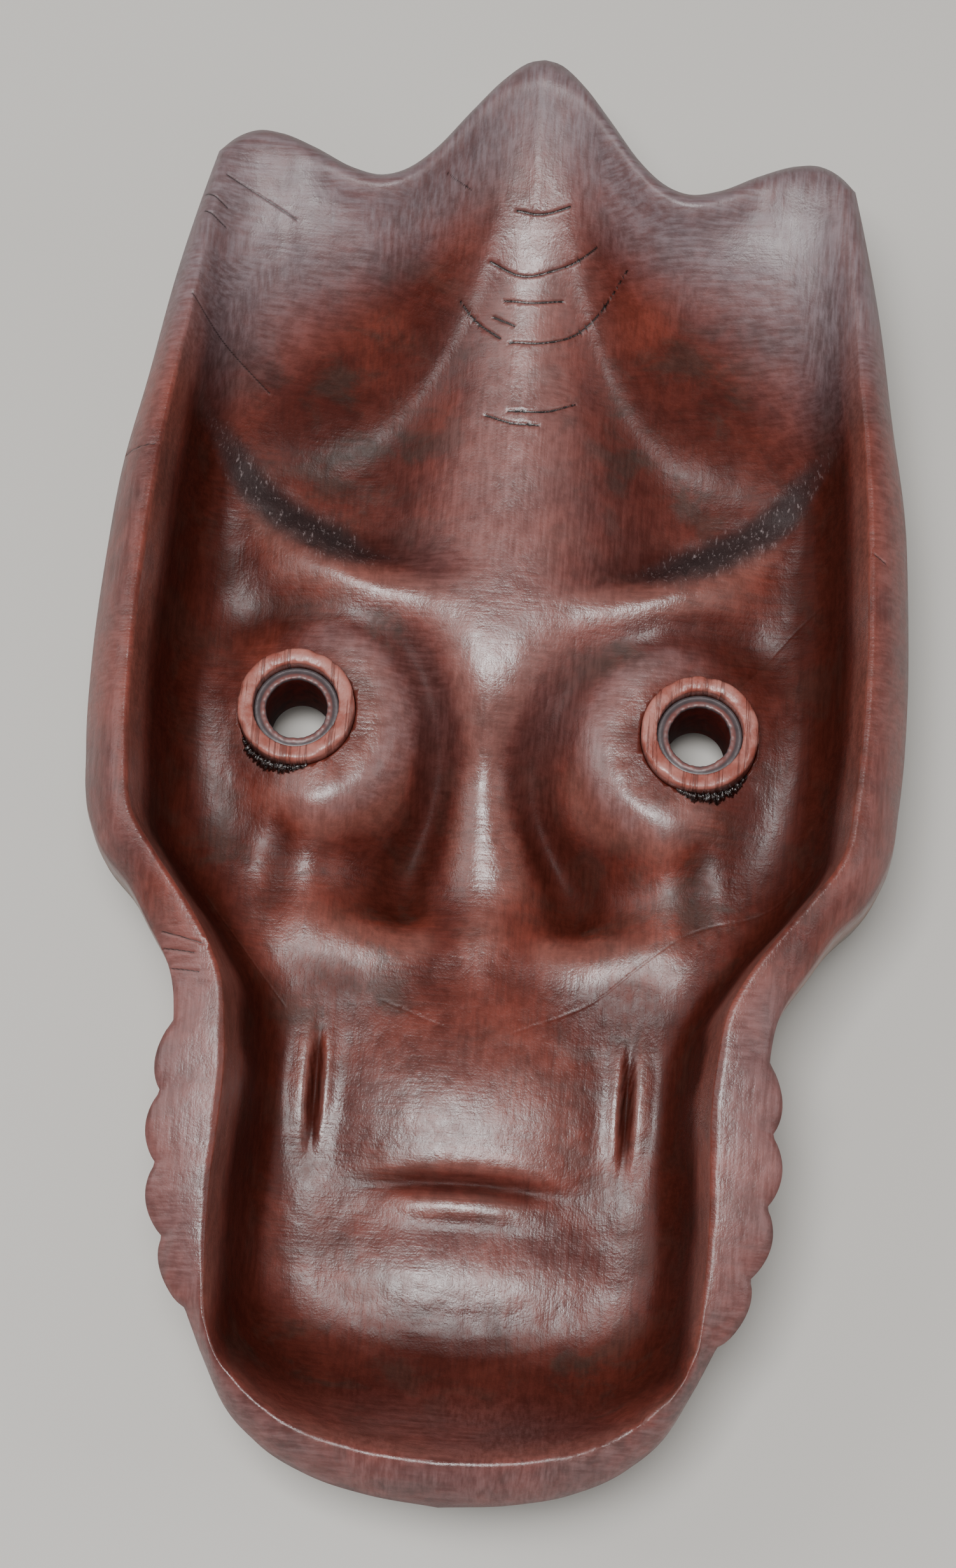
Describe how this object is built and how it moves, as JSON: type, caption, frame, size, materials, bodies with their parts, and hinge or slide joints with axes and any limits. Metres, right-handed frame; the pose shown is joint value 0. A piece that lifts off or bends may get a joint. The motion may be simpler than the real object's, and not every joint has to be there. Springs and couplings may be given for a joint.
{
  "type": "noh mask",
  "caption": "Carved wooden noh mask with a three-peaked brow, red-brown lacquered hollow, gilt eyes and turned rings round the pupil bores, lying face down.",
  "frame": {"origin": "middle of the mask's box, on the surface that the nose tip and the brows lie on", "axes": "+X across the face, +Y from the chin to the three peaks, +Z out of the hollow"},
  "size_m": [0.1556, 0.283, 0.064],
  "materials": {
    "lacquered_cypress": "semi-gloss red-brown lacquer over carved cypress, worn greyish on the rim",
    "gilt_copper": "aged gilt",
    "liner_wood": "dark red lacquer, ledge worn blue-grey",
    "ring_wood": "pinkish worn lacquer with dark grain",
    "lacquer_glue": "glossy hardened lacquer glue"
  },
  "bodies": {
    "root": {"mask_body": "lacquered_cypress", "eye_cup_left": "gilt_copper", "eye_cup_right": "gilt_copper", "pupil_liner_left": "liner_wood", "pupil_liner_right": "liner_wood", "eye_ring_left": "ring_wood", "eye_ring_right": "ring_wood", "glue_bead_left": "lacquer_glue", "glue_bead_right": "lacquer_glue"}
  },
  "joints": []
}
